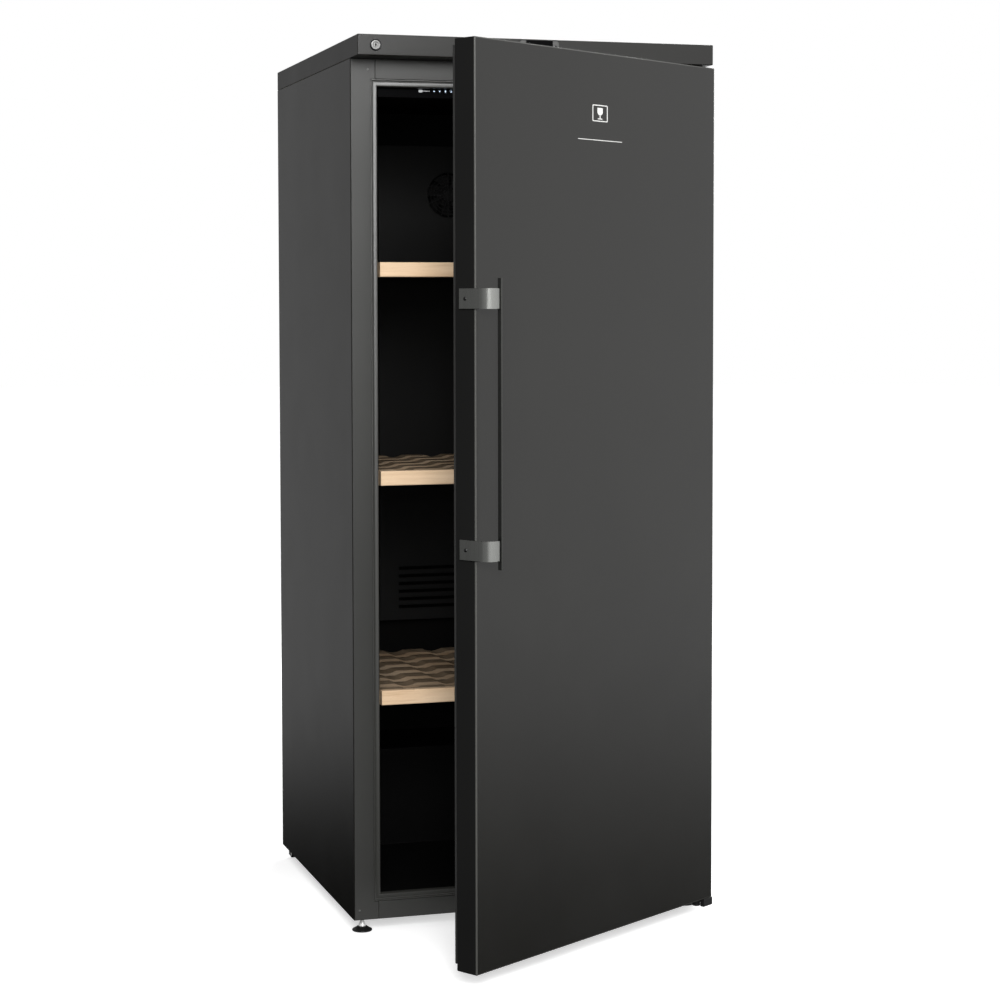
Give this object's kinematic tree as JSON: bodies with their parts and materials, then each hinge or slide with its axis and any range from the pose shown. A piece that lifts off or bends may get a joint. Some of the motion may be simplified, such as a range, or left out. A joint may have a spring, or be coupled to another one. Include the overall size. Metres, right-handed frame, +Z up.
{
  "type": "wine cooler",
  "caption": "Upright insulated wine cabinet with a solid right-hinged door, side bar handle, keyed lock in its cap, wooden shelves and a compressor cooling circuit.",
  "frame": {"origin": "on the floor, at the bottom centre of the box that holds the whole object with its door part open as at rest", "axes": "+Z up, +Y from the cabinet's front to its back, +X from its left side to its hinged right side as seen from the front"},
  "size_m": [0.6912, 1.0436, 1.632],
  "materials": {
    "casing_paint": "satin",
    "frame_finish": "satin",
    "black_plastic": "matte",
    "gloss_black": "gloss",
    "black_steel": "satin",
    "zinc_steel": "satin",
    "chrome": "polished",
    "seal_rubber": "matte",
    "insulation": "matte",
    "beech_wood": "satin",
    "grey_plastic": "satin",
    "light_lens": "satin",
    "copper": "satin",
    "aluminium": "satin"
  },
  "bodies": {
    "cabinet": {"side_panel_left": "casing_paint", "side_panel_right": "casing_paint", "top_cap": "casing_paint", "frame_post_left": "frame_finish", "frame_post_right": "frame_finish", "frame_rail_top": "frame_finish", "frame_rail_bottom": "frame_finish", "opening_trim": "frame_finish", "inner_liner": "black_plastic", "lock_bezel": "black_plastic", "cable_gland": "black_plastic", "air_duct_cover": "black_plastic", "fan_motor": "black_plastic", "display_window": "gloss_black", "control_panel": "gloss_black", "upper_hinge_bracket": "black_steel", "lower_hinge_bracket": "black_steel", "compressor": "black_steel", "condenser": "black_steel", "back_panel": "zinc_steel", "base_pan": "zinc_steel", "machine_panel": "zinc_steel", "roller_bracket_left": "zinc_steel", "roller_bracket_right": "zinc_steel", "cabinet_foam": "insulation", "shelf_front_1": "beech_wood", "shelf_front_2": "beech_wood", "shelf_front_3": "beech_wood", "shelf_deck_1": "beech_wood", "shelf_deck_2": "beech_wood", "shelf_deck_3": "beech_wood", "electronics_box": "grey_plastic", "drip_tray": "grey_plastic", "light_bar": "light_lens", "filter_drier": "copper", "discharge_pipe": "copper", "evaporator": "aluminium"},
    "door": {"door_skin": "casing_paint", "door_foam": "insulation", "door_liner": "black_plastic", "door_gasket": "seal_rubber", "handle_bar": "black_steel", "handle_strap_upper": "black_steel", "handle_strap_lower": "black_steel", "door_stop": "black_plastic", "door_bush_upper": "grey_plastic", "door_bush_lower": "grey_plastic"},
    "lock": {"lock_barrel": "chrome", "lock_cam": "zinc_steel"},
    "fan": {"fan_impeller": "grey_plastic"},
    "foot_left": {"foot_pad_left": "black_plastic", "foot_stem_left": "chrome"},
    "foot_right": {"foot_pad_right": "black_plastic", "foot_stem_right": "chrome"},
    "roller_left": {"roller_left": "black_plastic"},
    "roller_right": {"roller_right": "black_plastic"},
    "button_1": {"button_1": "gloss_black"},
    "button_2": {"button_2": "gloss_black"},
    "button_3": {"button_3": "gloss_black"},
    "button_4": {"button_4": "gloss_black"}
  },
  "joints": [
    {"name": "door_hinge", "type": "hinge", "parent": "cabinet", "child": "door", "pos_m": [0.31544, -0.13371, 0.809], "axis": [0, 0, 1], "range_deg": [-31.8, 78.2]},
    {"name": "lock_turn", "type": "hinge", "parent": "cabinet", "child": "lock", "pos_m": [-0.31256, -0.14821, 1.613], "axis": [0, 1, 0], "range_deg": [0, 90]},
    {"name": "foot_left_turn", "type": "hinge", "parent": "cabinet", "child": "foot_left", "pos_m": [-0.32556, -0.07821, 0.004], "axis": [0, 0, 1], "continuous": true},
    {"name": "foot_right_turn", "type": "hinge", "parent": "cabinet", "child": "foot_right", "pos_m": [0.31444, -0.07821, 0.004], "axis": [0, 0, 1], "continuous": true},
    {"name": "roller_left_spin", "type": "hinge", "parent": "cabinet", "child": "roller_left", "pos_m": [-0.32356, 0.49979, 0.01], "axis": [1, 0, 0], "continuous": true},
    {"name": "roller_right_spin", "type": "hinge", "parent": "cabinet", "child": "roller_right", "pos_m": [0.31244, 0.49979, 0.01], "axis": [1, 0, 0], "continuous": true},
    {"name": "fan_spin", "type": "hinge", "parent": "cabinet", "child": "fan", "pos_m": [-0.00556, 0.43879, 1.38], "axis": [0, 1, 0], "continuous": true},
    {"name": "button_1_press", "type": "slide", "parent": "cabinet", "child": "button_1", "axis": [0, 1, 0], "range_m": [0, 0.0008], "stiffness_N_per_m": 500},
    {"name": "button_2_press", "type": "slide", "parent": "cabinet", "child": "button_2", "axis": [0, 1, 0], "range_m": [0, 0.0008], "stiffness_N_per_m": 500},
    {"name": "button_3_press", "type": "slide", "parent": "cabinet", "child": "button_3", "axis": [0, 1, 0], "range_m": [0, 0.0008], "stiffness_N_per_m": 500},
    {"name": "button_4_press", "type": "slide", "parent": "cabinet", "child": "button_4", "axis": [0, 1, 0], "range_m": [0, 0.0008], "stiffness_N_per_m": 500}
  ]
}
